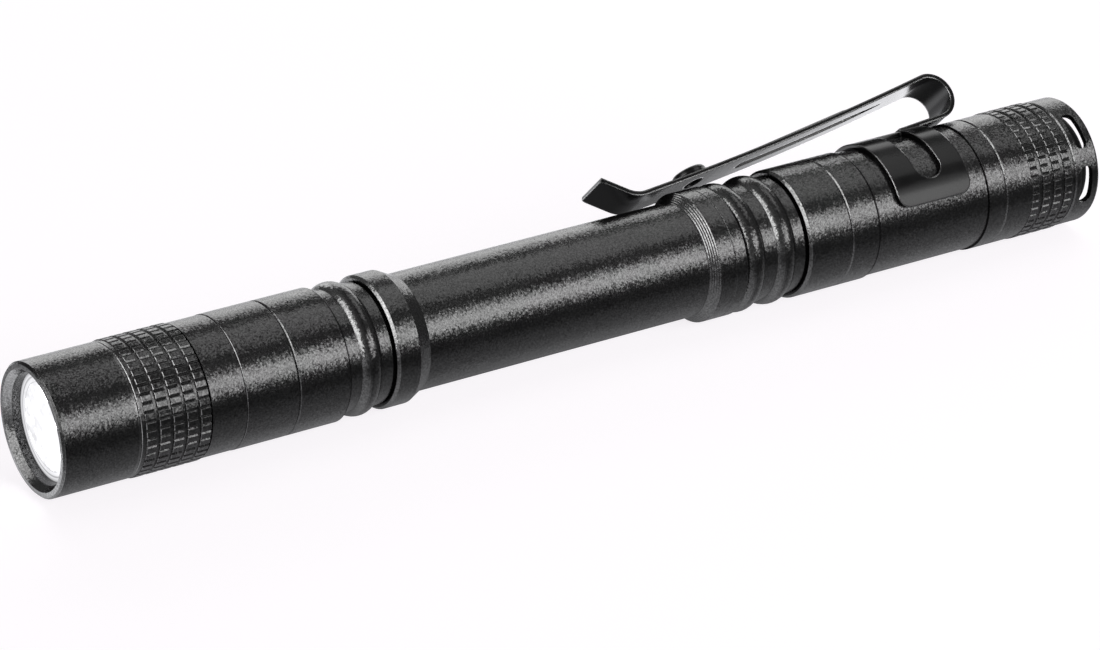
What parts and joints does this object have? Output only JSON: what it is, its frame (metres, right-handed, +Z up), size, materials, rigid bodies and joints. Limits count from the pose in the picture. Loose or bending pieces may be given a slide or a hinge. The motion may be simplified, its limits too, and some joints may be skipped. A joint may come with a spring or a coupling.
{
  "type": "penlight",
  "caption": "Slim black aluminium penlight with a knurled bezel and tail cap, grip rings, a steel pocket clip and a push-button tail switch.",
  "frame": {"origin": "on the barrel axis at the front end of the bezel's smooth wall, just behind the bevelled rim", "axes": "+X along the barrel towards the tail, +Z up, +Y away from the side that the picture shows; the clip leans 44 degrees from +Z towards +Y"},
  "size_m": [0.1281, 0.0177, 0.018],
  "materials": {
    "black_anodised": "satin black anodised, bead-blasted",
    "black_spring_steel": "gloss black coated spring steel",
    "clear_window": "clear, polished",
    "mirror_cup": "polished metallised",
    "white_plastic": "matte",
    "white_board": "matte solder mask on a metal core",
    "emitter": "phosphor under a clear dome",
    "brass_pill": "turned",
    "green_board": "solder mask",
    "black_rubber": "matte",
    "cell_can": "plain wrapped can",
    "black_plastic": "matte",
    "bright_steel": "bright drawn wire"
  },
  "bodies": {
    "barrel": {"neck": "black_anodised", "body_tube": "black_anodised", "clip_sleeve": "black_anodised", "bezel_o_ring": "black_rubber", "neck_o_ring": "black_rubber", "sleeve_o_ring": "black_rubber", "tail_o_ring": "black_rubber", "led_pill": "brass_pill", "led_board": "white_board", "led_emitter": "emitter", "centring_ring": "white_plastic", "driver_board": "green_board", "driver_contact": "brass_pill", "cell_front": "cell_can", "cell_rear": "cell_can"},
    "optics": {"lens": "clear_window", "front_o_ring": "black_rubber", "reflector": "mirror_cup"},
    "head": {"bezel": "black_anodised"},
    "contact_spring": {"battery_spring": "bright_steel"},
    "tail": {"tail_cap": "black_anodised", "switch_housing": "black_plastic", "switch_ring": "brass_pill", "switch_board": "green_board"},
    "button": {"switch_boot": "black_rubber", "switch_plunger": "white_plastic"},
    "pocket_clip": {"clip": "black_spring_steel"}
  },
  "joints": [
    {"name": "bezel_advance", "type": "slide", "parent": "barrel", "child": "optics", "axis": [-1, 0, 0], "range_m": [0, 0.003]},
    {"name": "bezel_turn", "type": "hinge", "parent": "optics", "child": "head", "pos_m": [0.01, 0, 0], "axis": [-1, 0, 0], "range_deg": [0, 1440]},
    {"name": "tail_advance", "type": "slide", "parent": "barrel", "child": "contact_spring", "axis": [1, 0, 0], "range_m": [0, 0.00225]},
    {"name": "tail_turn", "type": "hinge", "parent": "contact_spring", "child": "tail", "pos_m": [0.121, 0, 0], "axis": [1, 0, 0], "range_deg": [0, 1080]},
    {"name": "button_press", "type": "slide", "parent": "tail", "child": "button", "axis": [-1, 0, 0], "range_m": [0, 0.0012], "stiffness_N_per_m": 2500},
    {"name": "clip_turn", "type": "hinge", "parent": "barrel", "child": "pocket_clip", "pos_m": [0.1054, 0, 0], "axis": [1, 0, 0], "range_deg": [-180, 180]}
  ],
  "couplings": [
    {"joint": "bezel_turn", "follows": "bezel_advance", "rad_per_m": 8377.6},
    {"joint": "tail_turn", "follows": "tail_advance", "rad_per_m": 8377.6}
  ]
}
